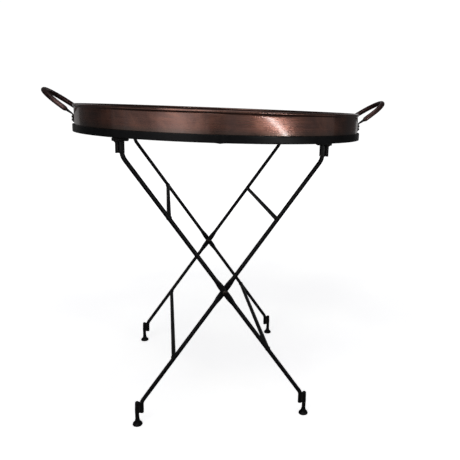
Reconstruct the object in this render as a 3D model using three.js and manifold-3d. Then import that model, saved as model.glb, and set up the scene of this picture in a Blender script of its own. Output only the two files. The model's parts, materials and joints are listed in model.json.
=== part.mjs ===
// Round copper tray on a folding stand of black iron rod.
// Millimetres, +Z up, +X through the two handles, origin on the floor under the tray's centre.
// Two rod frames cross like scissors. Each frame is a front leg and a rear leg joined by two
// crossbars. The upturned tops of the legs stand in four channels under a flat-bar ring, and
// the tray lies loose inside the ring on four tabs, turned a few degrees.
import * as THREE from 'three';
import { mergeVertices } from 'three/addons/utils/BufferGeometryUtils.js';
import Module from 'manifold-3d';

const wasm = await Module();
wasm.setup();

// --- driving dimensions -------------------------------------------------------------------
const GAP = 0.3; // clearance between faces that touch on the real table
const ROUND_STEPS = 72; // facets round the tray and the ring

const RING_OUTER_R = 285;
const RING_THICKNESS = 3.2; // eighth-inch flat bar
const RING_HEIGHT = 13; // half-inch flat bar
const RING_BOTTOM_Z = 536;

const TRAY_TURN_DEG = -4.2; // how the loose tray lies in the ring
const PAN_OUTER_R = 281;
const PAN_SHEET = 1.0;
const PAN_CORNER_R = 6;
const PAN_TOP_Z = 587;
const BEAD_R = 2.9; // rolled edge over the rim wire
const BEAD_OVERHANG = 2.4; // how far the rolled edge stands outside the wall

const ROD_R = 3.97; // five-sixteenth-inch rod
const ROD_SIDES = 12;
const STAND_X = -7.5; // the stand sits a little to the left of the ring's centre
const HALF_DEPTH = 195.2; // the plane midway between the two legs of one crossing
const LEG_PITCH = 8.6; // front to back, between the centre lines of two crossing legs
const TOP_BEND = { x: 174, z: 505 }; // where a leg turns upright into its channel
const FOOT_BEND = { x: 152, z: 47 }; // where a leg turns down beside its foot rod
const TOP_BEND_R = 26;
const FOOT_BEND_R = 16;
const LEG_END_Z = 24; // lower end of a leg, lapped on its foot rod

const PADDLE_HALF_LENGTH = 32; // forged flat on each side of the pivot
const PADDLE_WIDTH = 11.2;
const PADDLE_THICKNESS = 4.8;
const PIVOT_PIN_R = 2.0;
const PIVOT_HOLE_R = 2.1;
const PIVOT_HEAD_R = 4.2;
const PIVOT_HEAD_HEIGHT = 2.2;
const SPACER_R = 4.6;

const CROSSBAR_HEIGHTS = { a_upper: 399, a_lower: 142, b_upper: 394, b_lower: 131 };

const FOOT_ROD_TOP_Z = 48;
const FOOT_PAD_R = 9.3;
const FOOT_PAD_HEIGHT = 8.0;

const TAB_THICKNESS = 3;
const TAB_WIDTH = 30;
const TAB_INNER_R = 243;
const SOCKET_PLATE = { length: 27, depth: 14, thickness: 5.4, outward: 2 };
const CHANNEL_WALL = 1.7;
const CHANNEL_LENGTH = 19.6;
const CHANNEL_LIP = 4.2; // how far the channel's sides reach past the rod's centre
const CHANNEL_CLEARANCE = 0.35;
const GUSSET_WIDTH = 4;
const GUSSET_DEPTH = 9;

const HANDLE_HALF_WIDTH = 51.5;
const HANDLE_BASE_X = 283.5;
const HANDLE_BASE_Z = 570.6;
const HANDLE_REACH = 56.9; // outwards from the base to the middle of the loop
const HANDLE_RISE_DEG = 35;
const HANDLE_STEPS = 20;
const HANDLE_ROD_R = 2.5;
const GRIP_OUTER_R = 4.8;
const GRIP_INNER_R = 3.1;
const STRAP_BOTTOM_Z = 553;
const STRAP_BEND_R = 7;
const STRAP_THICKNESS = 2.6;
const STRAP_WIDTH = 10;
const RIVET_HEIGHTS = [556.3, 561.9];
const RIVET_SHANK_R = 1.6;
const RIVET_HOLE_R = 1.95;
const RIVET_HEAD_R = 2.6;
const RIVET_HEAD_HEIGHT = 1.5;

// --- worked out from them -----------------------------------------------------------------
const TAB_BOTTOM_Z = RING_BOTTOM_Z; // the tabs lie inside the ring, flush with its lower edge
const TAB_OUTER_R = RING_OUTER_R - RING_THICKNESS - GAP;
const FLOOR_Z = TAB_BOTTOM_Z + TAB_THICKNESS + GAP; // underside of the tray
const SOCKET_TOP_Z = TAB_BOTTOM_Z - GAP;
const LEG_TOP_Z = SOCKET_TOP_Z - SOCKET_PLATE.thickness - GAP;
const LEG_LEAN = Math.atan2(TOP_BEND.x + FOOT_BEND.x, TOP_BEND.z - FOOT_BEND.z);
const LEG_SLOPE = Math.tan(LEG_LEAN); // sideways per unit of height
const PIVOT_Z = TOP_BEND.z - TOP_BEND.x / LEG_SLOPE;
const FOOT_X = FOOT_BEND.x + 2 * ROD_R + 0.05;
const FRAME_A_Y = HALF_DEPTH + LEG_PITCH / 2;
const FRAME_B_Y = HALF_DEPTH - LEG_PITCH / 2;

// --- finishes -----------------------------------------------------------------------------
function finish(color, roughness, metalness) {
  return new THREE.MeshStandardMaterial({ color, roughness, metalness });
}
const agedCopper = finish(0x5a3328, 0.38, 0.9);
const gripCopper = finish(0x4c2a26, 0.42, 0.9);
const blackIron = finish(0x17171a, 0.45, 0.5);
const darkSteel = finish(0x2a2624, 0.5, 0.7);

const table = new THREE.Group();
const stand = new THREE.Group(); // the frames, and the channels that hold their tops
stand.position.x = STAND_X;
const tray = new THREE.Group();
tray.rotation.z = THREE.MathUtils.degToRad(TRAY_TURN_DEG);
table.add(stand, tray);

function addPiece(name, geometry, material, parent = table) {
  const mesh = new THREE.Mesh(geometry, material);
  mesh.name = name;
  parent.add(mesh);
  return mesh;
}

// --- solids: joins and cuts ---------------------------------------------------------------
function toSolid(geometry) {
  const bare = geometry.clone();
  bare.deleteAttribute('normal');
  bare.deleteAttribute('uv');
  const merged = mergeVertices(bare, 1e-4);
  return new wasm.Manifold(new wasm.Mesh({
    numProp: 3,
    vertProperties: new Float32Array(merged.attributes.position.array),
    triVerts: new Uint32Array(merged.index.array),
  }));
}

function toGeometry(solid) {
  const mesh = solid.getMesh();
  const geometry = new THREE.BufferGeometry();
  geometry.setAttribute('position', new THREE.BufferAttribute(mesh.vertProperties, 3));
  geometry.setIndex(new THREE.BufferAttribute(mesh.triVerts, 1));
  return geometry;
}

function cut(geometry, tools) {
  let solid = toSolid(geometry);
  for (const tool of tools) {
    solid = solid.subtract(toSolid(tool));
  }
  return toGeometry(solid);
}

// A cylinder of length 2 * halfLength through a point, along a direction.
function drill(point, direction, radius, halfLength, sides = 16) {
  const cylinder = new THREE.CylinderGeometry(radius, radius, 2 * halfLength, sides);
  const turn = new THREE.Quaternion().setFromUnitVectors(
    new THREE.Vector3(0, 1, 0), direction.clone().normalize());
  return cylinder.applyQuaternion(turn).translate(point.x, point.y, point.z);
}

// --- sweeps -------------------------------------------------------------------------------
// A path whose steps are exactly the given stations, so that a straight run is one step.
class StationPath extends THREE.Curve {
  constructor(stations) {
    super();
    this.stations = stations;
  }

  getPoint(t) {
    return this.stations[Math.round(t * (this.stations.length - 1))].clone();
  }

  getPointAt(u) {
    return this.getPoint(u);
  }

  getTangentAt(u) {
    const last = this.stations.length - 1;
    const i = Math.round(u * last);
    const before = this.stations[Math.max(i - 1, 0)];
    const here = this.stations[i];
    const after = this.stations[Math.min(i + 1, last)];
    const arriving = here.clone().sub(before).normalize();
    const leaving = after.clone().sub(here).normalize();
    return arriving.add(leaving).normalize();
  }
}

function circleShape(radius, sides, holeRadius = 0) {
  const ring = (r) => Array.from({ length: sides }, (_, i) => {
    const angle = 2 * Math.PI * (i + 0.5) / sides;
    return new THREE.Vector2(r * Math.cos(angle), r * Math.sin(angle));
  });
  const shape = new THREE.Shape(ring(radius));
  if (holeRadius > 0) {
    shape.holes.push(new THREE.Path(ring(holeRadius)));
  }
  return shape;
}

function sweep(shape, path) {
  return new THREE.ExtrudeGeometry(shape, {
    extrudePath: path,
    steps: path.stations.length - 1,
    curveSegments: 1,
    bevelEnabled: false,
  });
}

// Hammers a swept rod to another section, station by station: formAt(i) gives the direction
// of the section's width, the factor on its width and the factor on its thickness.
function reshape(geometry, path, formAt) {
  const last = path.stations.length - 1;
  const tangents = path.stations.map((_, i) => path.getTangentAt(i / last));
  const vertex = new THREE.Vector3();
  const offset = new THREE.Vector3();
  const positions = geometry.attributes.position;
  const isIn = (i) => {
    offset.subVectors(vertex, path.stations[i]);
    return Math.abs(offset.dot(tangents[i])) < 1e-3 && offset.length() < 2 * ROD_R;
  };
  for (let k = 0; k < positions.count; k += 1) {
    vertex.fromBufferAttribute(positions, k);
    const i = path.stations.findIndex((_, index) => isIn(index));
    const { widthAxis, wide, thin } = formAt(i);
    const sideways = offset.dot(widthAxis);
    vertex.addScaledVector(offset, thin - 1);
    vertex.addScaledVector(widthAxis, sideways * (wide - thin));
    positions.setXYZ(k, vertex.x, vertex.y, vertex.z);
  }
}

// Turns a closed profile of [radius, height] pairs about the vertical axis.
function turned(profile, steps) {
  return new THREE.LatheGeometry(profile.map(([r, z]) => new THREE.Vector2(r, z)), steps)
    .rotateX(Math.PI / 2);
}

// Points on an arc in a plane of two coordinates, both ends included.
function arc(centreU, centreV, radius, fromDeg, toDeg, steps) {
  return Array.from({ length: steps + 1 }, (_, i) => {
    const angle = THREE.MathUtils.degToRad(fromDeg + (toDeg - fromDeg) * i / steps);
    return [centreU + radius * Math.cos(angle), centreV + radius * Math.sin(angle)];
  });
}

// --- tray ---------------------------------------------------------------------------------
const BEAD_CENTRE_R = PAN_OUTER_R + BEAD_OVERHANG - BEAD_R;
const BEAD_CENTRE_Z = PAN_TOP_Z - BEAD_R;
const handleAzimuth = Math.atan2(HANDLE_HALF_WIDTH, HANDLE_BASE_X);

// The four places where a handle strap is riveted to the wall.
function strapAzimuths() {
  return [handleAzimuth, -handleAzimuth, Math.PI - handleAzimuth, Math.PI + handleAzimuth];
}

function radial(azimuth) {
  return new THREE.Vector3(Math.cos(azimuth), Math.sin(azimuth), 0);
}

function trayPan() {
  const innerR = PAN_OUTER_R - PAN_SHEET;
  const innerCorner = PAN_CORNER_R - PAN_SHEET;
  const cornerZ = FLOOR_Z + PAN_CORNER_R;
  const curlInner = BEAD_R - 0.9; // the curl is drawn a little thinner than the wall
  const meetsWall = -THREE.MathUtils.radToDeg(
    Math.acos((PAN_OUTER_R - BEAD_CENTRE_R) / BEAD_R));
  const profile = [
    [0, FLOOR_Z],
    ...arc(PAN_OUTER_R - PAN_CORNER_R, cornerZ, PAN_CORNER_R, -90, 0, 3),
    // outside of the curl: up from the wall, out, over the top and down inside
    ...arc(BEAD_CENTRE_R, BEAD_CENTRE_Z, BEAD_R, meetsWall, 210, 10),
    // inside of the curl, back over the wire
    ...arc(BEAD_CENTRE_R, BEAD_CENTRE_Z, curlInner, 210, -35, 8),
    [innerR, BEAD_CENTRE_Z - BEAD_R - 0.4],
    ...arc(innerR - innerCorner, cornerZ, innerCorner, 0, -90, 3),
    [0, FLOOR_Z + PAN_SHEET],
  ];
  const holes = [];
  for (const azimuth of strapAzimuths()) {
    for (const z of RIVET_HEIGHTS) {
      const onWall = radial(azimuth).multiplyScalar(PAN_OUTER_R).setZ(z);
      holes.push(drill(onWall, radial(azimuth), RIVET_HOLE_R, 4, 8));
    }
  }
  return cut(turned(profile, ROUND_STEPS), holes);
}

function rimWire() {
  const wireR = BEAD_R - 0.9 - GAP;
  const section = arc(BEAD_CENTRE_R, BEAD_CENTRE_Z, wireR, 0, 360, 6);
  return turned(section, ROUND_STEPS);
}

// Centre line of a handle loop on the +X side, from its +Y end to its -Y end.
function handleLoop() {
  const rise = Math.tan(THREE.MathUtils.degToRad(HANDLE_RISE_DEG));
  return Array.from({ length: HANDLE_STEPS + 1 }, (_, i) => {
    const angle = Math.PI * i / HANDLE_STEPS;
    const out = HANDLE_REACH * Math.sin(angle);
    return new THREE.Vector3(
      HANDLE_BASE_X + out,
      HANDLE_HALF_WIDTH * Math.cos(angle),
      HANDLE_BASE_Z + rise * out,
    );
  });
}

// Centre line of one flattened end, from the wall's lower end up to the loop.
function strapPath(side) {
  const azimuth = side * handleAzimuth;
  const rise = THREE.MathUtils.degToRad(HANDLE_RISE_DEG);
  const wallR = PAN_OUTER_R + GAP + STRAP_THICKNESS / 2;
  // the bend ends on the line on which the loop leaves
  const toLoop = Math.hypot(HANDLE_BASE_X, HANDLE_HALF_WIDTH)
    - wallR - STRAP_BEND_R * (1 - Math.sin(rise));
  const bendZ = HANDLE_BASE_Z - toLoop * Math.tan(rise) - STRAP_BEND_R * Math.cos(rise);
  const bend = arc(wallR + STRAP_BEND_R, bendZ, STRAP_BEND_R, 180, 90 + HANDLE_RISE_DEG, 4);
  return [[wallR, STRAP_BOTTOM_Z], ...bend].map(
    ([r, z]) => radial(azimuth).multiplyScalar(r).setZ(z));
}

// How flat the rod is hammered at each station, from the strap's lower end into the grip.
const STRAP_FLATNESS = [1, 1, 1, 1, 0.9, 0.6, 0.25];

function handleRod() {
  const loop = handleLoop();
  const stations = [...strapPath(1), ...loop, ...strapPath(-1).reverse()];
  const path = new StationPath(stations);
  const rod = sweep(circleShape(HANDLE_ROD_R, 8), path);
  const last = stations.length - 1;
  reshape(rod, path, (i) => {
    const side = i < last / 2 ? 1 : -1;
    const flatness = STRAP_FLATNESS[Math.min(i, last - i)] ?? 0;
    return {
      widthAxis: radial(side * handleAzimuth + Math.PI / 2),
      wide: 1 + flatness * (STRAP_WIDTH / (2 * HANDLE_ROD_R) - 1),
      thin: 1 + flatness * (STRAP_THICKNESS / (2 * HANDLE_ROD_R) - 1),
    };
  });
  const holes = [];
  for (const side of [1, -1]) {
    const outward = radial(side * handleAzimuth);
    for (const z of RIVET_HEIGHTS) {
      const onStrap = outward.clone().multiplyScalar(PAN_OUTER_R + 2).setZ(z);
      holes.push(drill(onStrap, outward, RIVET_HOLE_R, 4, 8));
    }
  }
  return cut(rod, holes);
}

function handleGrip() {
  const loop = handleLoop();
  return sweep(circleShape(GRIP_OUTER_R, 8, GRIP_INNER_R), new StationPath(loop.slice(1, -1)));
}

// A rivet along a direction: a domed head at each end of a shank.
function rivet(shankR, headR, headHeight, fromDistance, toDistance, steps) {
  const dome = (foot, top) => [
    [headR, foot],
    [headR * 0.8, foot + (top - foot) * 0.7],
    [headR * 0.35, top],
  ];
  const outer = dome(toDistance, toDistance + headHeight);
  const inner = dome(fromDistance, fromDistance - headHeight).reverse();
  return turned([
    [0, fromDistance - headHeight],
    ...inner,
    [shankR, fromDistance],
    [shankR, toDistance],
    ...outer,
    [0, toDistance + headHeight],
  ], steps);
}

function layAlong(geometry, direction) {
  const turn = new THREE.Quaternion().setFromUnitVectors(new THREE.Vector3(0, 0, 1), direction);
  return geometry.applyQuaternion(turn);
}

function addTray() {
  addPiece('tray_pan', trayPan(), agedCopper, tray);
  addPiece('rim_wire', rimWire(), darkSteel, tray);
  for (const [label, turnZ] of [['right', 0], ['left', Math.PI]]) {
    addPiece(`handle_rod_${label}`, handleRod(), blackIron, tray).rotation.z = turnZ;
    addPiece(`handle_grip_${label}`, handleGrip(), gripCopper, tray).rotation.z = turnZ;
  }
  const headFoot = PAN_OUTER_R - PAN_SHEET - GAP;
  const headTop = PAN_OUTER_R + STRAP_THICKNESS + 2 * GAP + 0.1;
  const places = ['right_rear', 'right_front', 'left_rear', 'left_front'];
  strapAzimuths().forEach((azimuth, i) => {
    RIVET_HEIGHTS.forEach((z, row) => {
      const body = rivet(RIVET_SHANK_R, RIVET_HEAD_R, RIVET_HEAD_HEIGHT, headFoot, headTop, 10);
      const level = row === 0 ? 'lower' : 'upper';
      addPiece(`rivet_${places[i]}_${level}`, layAlong(body, radial(azimuth)), darkSteel, tray)
        .position.z = z;
    });
  });
}

// --- ring with its tabs, socket plates, channels and gussets --------------------------------
function ringBand() {
  const innerR = RING_OUTER_R - RING_THICKNESS;
  const topZ = RING_BOTTOM_Z + RING_HEIGHT;
  return turned([
    [innerR, RING_BOTTOM_Z],
    [RING_OUTER_R, RING_BOTTOM_Z],
    [RING_OUTER_R, topZ],
    [innerR, topZ],
    [innerR, RING_BOTTOM_Z],
  ], ROUND_STEPS);
}

// Shelf plate inside the ring, drawn on the +X side and turned to its leg.
function tab() {
  const halfAngle = Math.asin(TAB_WIDTH / 2 / TAB_OUTER_R);
  const outline = new THREE.Shape();
  outline.moveTo(TAB_INNER_R, -TAB_WIDTH / 2 + 5);
  outline.lineTo(TAB_INNER_R + 5, -TAB_WIDTH / 2);
  outline.absarc(0, 0, TAB_OUTER_R, -halfAngle, halfAngle, false);
  outline.lineTo(TAB_INNER_R + 5, TAB_WIDTH / 2);
  outline.lineTo(TAB_INNER_R, TAB_WIDTH / 2 - 5);
  outline.closePath();
  return new THREE.ExtrudeGeometry(outline, {
    depth: TAB_THICKNESS, bevelEnabled: false, curveSegments: 5,
  }).translate(0, 0, TAB_BOTTOM_Z);
}

// Short piece of flat bar under the tab, over the channel and its gusset.
function socketPlate(side) {
  const { length, depth, thickness, outward } = SOCKET_PLATE;
  const body = new THREE.BoxGeometry(length, depth, thickness);
  return body.translate(side * (TOP_BEND.x + outward), 0, SOCKET_TOP_Z - thickness / 2);
}

// Channel round a leg's upturned end: closed outside, open towards the middle of the table.
function channel(side) {
  const innerR = ROD_R + CHANNEL_CLEARANCE;
  const outerR = innerR + CHANNEL_WALL;
  const outline = [
    [-CHANNEL_LIP, -outerR],
    ...arc(0, 0, outerR, -90, 90, 8),
    [-CHANNEL_LIP, outerR],
    [-CHANNEL_LIP, innerR],
    ...arc(0, 0, innerR, 90, -90, 8),
    [-CHANNEL_LIP, -innerR],
  ];
  const shape = new THREE.Shape(outline.map(([u, v]) => new THREE.Vector2(u, v)));
  const body = new THREE.ExtrudeGeometry(shape, { depth: CHANNEL_LENGTH, bevelEnabled: false });
  if (side < 0) {
    body.rotateZ(Math.PI);
  }
  return body.translate(side * TOP_BEND.x, 0, LEG_TOP_Z - CHANNEL_LENGTH);
}

function gusset(side) {
  const near = TOP_BEND.x + ROD_R + CHANNEL_CLEARANCE + CHANNEL_WALL + GAP;
  const body = new THREE.BoxGeometry(GUSSET_WIDTH, GUSSET_DEPTH, CHANNEL_LENGTH);
  return body.translate(side * (near + GUSSET_WIDTH / 2), 0, LEG_TOP_Z - CHANNEL_LENGTH / 2);
}

// The four leg tops: frame A leans to the left at its top, frame B to the right.
const LEG_TOPS = [
  { place: 'front_left', side: -1, y: -FRAME_A_Y },
  { place: 'rear_left', side: -1, y: FRAME_A_Y },
  { place: 'front_right', side: 1, y: -FRAME_B_Y },
  { place: 'rear_right', side: 1, y: FRAME_B_Y },
];

function addRing() {
  addPiece('ring_band', ringBand(), blackIron);
  for (const { place, side, y } of LEG_TOPS) {
    const azimuth = Math.atan2(y, side * TOP_BEND.x + STAND_X);
    addPiece(`ring_tab_${place}`, tab(), blackIron).rotation.z = azimuth;
    addPiece(`socket_plate_${place}`, socketPlate(side), blackIron, stand).position.y = y;
    addPiece(`leg_channel_${place}`, channel(side), blackIron, stand).position.y = y;
    addPiece(`channel_gusset_${place}`, gusset(side), blackIron, stand).position.y = y;
  }
}

// --- rod frames ----------------------------------------------------------------------------
// Stations of one leg in the XZ plane, leaning to the left at its top (frame A).
function legStations() {
  const lean = THREE.MathUtils.radToDeg(LEG_LEAN);
  const tangentLength = (radius) => radius * Math.tan(LEG_LEAN / 2);
  const footArc = arc(
    FOOT_BEND.x - FOOT_BEND_R, FOOT_BEND.z - tangentLength(FOOT_BEND_R), FOOT_BEND_R, 0, lean, 4);
  const topArc = arc(
    -TOP_BEND.x + TOP_BEND_R, TOP_BEND.z + tangentLength(TOP_BEND_R), TOP_BEND_R,
    180 + lean, 180, 5);
  const paddle = [-1, -0.66, -0.33, 0.33, 0.66, 1].map((k) => {
    const along = k * PADDLE_HALF_LENGTH;
    return [-along * Math.sin(LEG_LEAN), PIVOT_Z + along * Math.cos(LEG_LEAN)];
  });
  return [
    [FOOT_BEND.x, LEG_END_Z],
    ...footArc,
    ...paddle,
    ...topArc,
    [-TOP_BEND.x, LEG_TOP_Z],
  ].map(([x, z]) => new THREE.Vector3(x, 0, z));
}

// The rod is forged flat round the pivot: wider in the plane of the frame, thinner front to
// back, fading out towards the paddle's ends.
function leg(mirrored) {
  const path = new StationPath(legStations());
  const rod = sweep(circleShape(ROD_R, ROD_SIDES), path);
  const across = new THREE.Vector3(Math.cos(LEG_LEAN), 0, Math.sin(LEG_LEAN));
  const pivot = new THREE.Vector3(0, 0, PIVOT_Z);
  reshape(rod, path, (i) => {
    const flatness = 1 - THREE.MathUtils.smoothstep(
      path.stations[i].distanceTo(pivot), PADDLE_HALF_LENGTH * 0.4, PADDLE_HALF_LENGTH * 0.99);
    return {
      widthAxis: across,
      wide: 1 + flatness * (PADDLE_WIDTH / (2 * ROD_R) - 1),
      thin: 1 + flatness * (PADDLE_THICKNESS / (2 * ROD_R) - 1),
    };
  });
  if (mirrored) {
    rod.rotateZ(Math.PI);
  }
  return cut(rod, [drill(pivot, new THREE.Vector3(0, 1, 0), PIVOT_HOLE_R, 6, 24)]);
}

function crossbar(halfLength) {
  return new THREE.CylinderGeometry(ROD_R, ROD_R, 2 * halfLength, ROD_SIDES);
}

// Upright rod from the pad to the lap on the leg, with a rounded upper end.
function footRod() {
  const shoulderZ = FOOT_ROD_TOP_Z - ROD_R;
  return turned([
    [0, FOOT_PAD_HEIGHT + GAP],
    [ROD_R, FOOT_PAD_HEIGHT + GAP],
    ...arc(0, shoulderZ, ROD_R, 0, 60, 2),
    [0, FOOT_ROD_TOP_Z],
  ], ROD_SIDES);
}

// Button foot with a flat sole and a domed top.
function footPad() {
  return turned([
    [0, 0],
    [FOOT_PAD_R - 1.6, 0],
    [FOOT_PAD_R, 1.4],
    [FOOT_PAD_R, 3.4],
    [FOOT_PAD_R - 1.8, 6.2],
    [ROD_R + 0.8, FOOT_PAD_HEIGHT],
    [0, FOOT_PAD_HEIGHT],
  ], 16);
}

// One frame. topSide is -1 where the legs lean to the left at their tops, +1 to the right.
function addFrame(letter, topSide, legY) {
  const mirrored = topSide > 0;
  for (const [place, sign] of [['front', -1], ['rear', 1]]) {
    const y = sign * legY;
    const footX = -topSide * FOOT_X;
    addPiece(`leg_${letter}_${place}`, leg(mirrored), blackIron, stand).position.y = y;
    addPiece(`foot_rod_${letter}_${place}`, footRod(), blackIron, stand).position.set(footX, y, 0);
    addPiece(`foot_pad_${letter}_${place}`, footPad(), blackIron, stand).position.set(footX, y, 0);
  }
  for (const level of ['upper', 'lower']) {
    const z = CROSSBAR_HEIGHTS[`${letter}_${level}`];
    const x = topSide * (z - PIVOT_Z) * LEG_SLOPE;
    const halfLength = legY - ROD_R - GAP;
    addPiece(`crossbar_${letter}_${level}`, crossbar(halfLength), blackIron, stand)
      .position.set(x, 0, z);
  }
}

// Rivet through both paddles of a crossing, with a spacer washer between them.
function addPivot(place, sign) {
  const outerFace = LEG_PITCH / 2 + PADDLE_THICKNESS / 2 + GAP;
  const pin = rivet(PIVOT_PIN_R, PIVOT_HEAD_R, PIVOT_HEAD_HEIGHT, -outerFace, outerFace, 16);
  layAlong(pin, new THREE.Vector3(0, 1, 0));
  addPiece(`pivot_rivet_${place}`, pin, darkSteel, stand)
    .position.set(0, sign * HALF_DEPTH, PIVOT_Z);

  const halfSpace = LEG_PITCH / 2 - PADDLE_THICKNESS / 2 - GAP;
  const washer = turned([
    [PIVOT_HOLE_R, -halfSpace],
    [SPACER_R, -halfSpace],
    [SPACER_R, halfSpace],
    [PIVOT_HOLE_R, halfSpace],
    [PIVOT_HOLE_R, -halfSpace],
  ], 16);
  layAlong(washer, new THREE.Vector3(0, 1, 0));
  addPiece(`pivot_spacer_${place}`, washer, darkSteel, stand)
    .position.set(0, sign * HALF_DEPTH, PIVOT_Z);
}

addTray();
addRing();
addFrame('a', -1, FRAME_A_Y);
addFrame('b', 1, FRAME_B_Y);
addPivot('front', -1);
addPivot('rear', 1);

export default table;
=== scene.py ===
import json
import math

import bmesh
import bpy
import numpy as np
from mathutils import Matrix, Vector, noise


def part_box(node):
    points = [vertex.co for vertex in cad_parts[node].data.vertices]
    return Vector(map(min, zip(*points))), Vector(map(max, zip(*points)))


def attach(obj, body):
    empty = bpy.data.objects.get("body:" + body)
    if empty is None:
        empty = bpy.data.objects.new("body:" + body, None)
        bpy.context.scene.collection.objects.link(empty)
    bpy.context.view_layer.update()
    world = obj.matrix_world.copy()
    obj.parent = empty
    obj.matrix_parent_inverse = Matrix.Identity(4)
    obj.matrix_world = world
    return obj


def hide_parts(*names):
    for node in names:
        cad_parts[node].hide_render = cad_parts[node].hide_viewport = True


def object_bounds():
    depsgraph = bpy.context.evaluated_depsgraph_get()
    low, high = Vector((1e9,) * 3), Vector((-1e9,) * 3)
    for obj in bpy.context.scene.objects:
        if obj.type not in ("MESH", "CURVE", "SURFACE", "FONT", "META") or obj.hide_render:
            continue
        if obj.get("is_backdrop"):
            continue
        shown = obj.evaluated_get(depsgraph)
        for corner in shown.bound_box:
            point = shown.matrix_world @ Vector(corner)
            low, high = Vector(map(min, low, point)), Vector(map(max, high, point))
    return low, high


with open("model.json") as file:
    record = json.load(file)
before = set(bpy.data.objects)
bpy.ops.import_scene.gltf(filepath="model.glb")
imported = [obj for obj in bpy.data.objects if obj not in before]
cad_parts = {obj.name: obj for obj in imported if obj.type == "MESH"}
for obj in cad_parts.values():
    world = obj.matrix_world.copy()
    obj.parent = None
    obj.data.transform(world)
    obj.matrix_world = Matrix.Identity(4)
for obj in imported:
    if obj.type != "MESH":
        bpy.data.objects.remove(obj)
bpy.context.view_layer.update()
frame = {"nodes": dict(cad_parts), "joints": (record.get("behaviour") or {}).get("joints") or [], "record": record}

MM = 0.001
SMOOTH_ANGLE = math.radians(38)
scene = bpy.context.scene
record = frame["record"]
pivot = Vector(next(j for j in frame["joints"] if j["name"] == "fold")["pos_m"])


# --- meshes -----------------------------------------------------------------------------
def mark_edges(mesh):
    """Stores how much of a raised edge each vertex lies on, from 0 to 1, as 'edge'."""
    bm = bmesh.new()
    bm.from_mesh(mesh)
    bm.normal_update()
    values = []
    for v in bm.verts:
        turn = sum(e.calc_face_angle_signed(0.0) for e in v.link_edges if e.is_manifold)
        size = sum(e.calc_length() for e in v.link_edges) / max(1, len(v.link_edges))
        values.append(min(1.0, max(0.0, turn / max(size, 0.2 * MM) * 0.6 * MM)))
    bm.free()
    layer = mesh.attributes.new("edge", "FLOAT", "POINT")
    layer.data.foreach_set("value", values)


def mesh_object(name, verts, faces, smooth_angle=SMOOTH_ANGLE):
    """Links a smooth-shaded mesh, with edges sharper than smooth_angle left sharp."""
    mesh = bpy.data.meshes.new(name)
    mesh.from_pydata([tuple(map(float, v)) for v in verts], [], faces)
    mesh.validate()
    bm = bmesh.new()
    bm.from_mesh(mesh)
    bmesh.ops.recalc_face_normals(bm, faces=bm.faces)
    bm.to_mesh(mesh)
    bm.free()
    mesh.shade_smooth()
    mesh.set_sharp_from_angle(angle=smooth_angle)
    mark_edges(mesh)
    obj = bpy.data.objects.new(name, mesh)
    scene.collection.objects.link(obj)
    return obj


def grid_faces(rows, cols, loop_rows, first=0):
    """Quads between rows of a tube whose rows close on themselves."""
    faces = []
    for i in range(rows if loop_rows else rows - 1):
        a, b = first + i * cols, first + ((i + 1) % rows) * cols
        for j in range(cols):
            k = (j + 1) % cols
            faces.append((a + j, a + k, b + k, b + j))
    return faces


def tube(name, rows, loop_rows=False, **kwargs):
    """A closed solid from rows of points. Open tubes get a fan at each end."""
    rows = np.asarray(rows, float)
    n, m = rows.shape[:2]
    verts = list(rows.reshape(-1, 3))
    faces = grid_faces(n, m, loop_rows)
    if not loop_rows:
        for row, flip in ((0, False), (n - 1, True)):
            pole = len(verts)
            verts.append(rows[row].mean(0))
            for j in range(m):
                a, b = row * m + j, row * m + (j + 1) % m
                faces.append((b, a, pole) if not flip else (a, b, pole))
    return mesh_object(name, verts, faces, **kwargs)


def fillet(before, corner, after, radius, steps):
    """Points of an arc that rounds one corner of a polyline, ends included."""
    a, b = (before - corner).normalized(), (after - corner).normalized()
    angle = a.angle(b)
    centre = corner + (a + b).normalized() * (radius / math.sin(angle / 2))
    reach = radius / math.tan(angle / 2)
    u, w = corner + a * reach - centre, corner + b * reach - centre
    sweep_angle = u.angle(w)
    return [
        centre
        + (u * math.sin((1 - t) * sweep_angle) + w * math.sin(t * sweep_angle))
        / math.sin(sweep_angle)
        for t in (k / steps for k in range(steps + 1))
    ]


def rounded_polygon(corners, radius, steps=3):
    """Outline with rounded corners. radius is one number or one for each corner."""
    points = [Vector((u, v, 0)) for u, v in corners]
    radii = radius if isinstance(radius, (list, tuple)) else [radius] * len(points)
    out = []
    for i, corner in enumerate(points):
        if radii[i] <= 0:
            out.append(corner)
            continue
        after = points[(i + 1) % len(points)]
        out += fillet(points[i - 1], corner, after, radii[i], steps)
    return [(p.x, p.y) for p in out]


def rectangle(u0, v0, u1, v1, radius, steps):
    return rounded_polygon([(u0, v0), (u1, v0), (u1, v1), (u0, v1)], radius, steps)


def subdivided(outline, spacing):
    """The closed outline with its long edges split."""
    out = []
    for i, (u, v) in enumerate(outline):
        w = outline[(i + 1) % len(outline)]
        parts = max(1, int(math.hypot(w[0] - u, w[1] - v) / spacing))
        for k in range(parts):
            out.append((u + (w[0] - u) * k / parts, v + (w[1] - v) * k / parts))
    return out


def bent_path(corners, radii, spacing):
    """Dense points along straight runs joined by arcs. radii has one entry per inner corner."""
    corners = [Vector(c) for c in corners]
    points = [corners[0]]
    for i in range(1, len(corners) - 1):
        points += fillet(corners[i - 1], corners[i], corners[i + 1], radii[i - 1], 10)
    points.append(corners[-1])
    dense = [points[0]]
    for a, b in zip(points, points[1:]):
        parts = max(1, int((b - a).length / spacing))
        dense += [a.lerp(b, k / parts) for k in range(1, parts + 1)]
    return np.array([tuple(p) for p in dense])


def directions(path):
    """Unit tangents of a path."""
    tangents = np.gradient(path, axis=0)
    return tangents / np.linalg.norm(tangents, axis=1)[:, None]


def arc_lengths(path):
    """Distance along the path at each of its points."""
    return np.concatenate([[0], np.cumsum(np.linalg.norm(np.diff(path, axis=0), axis=1))])


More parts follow.
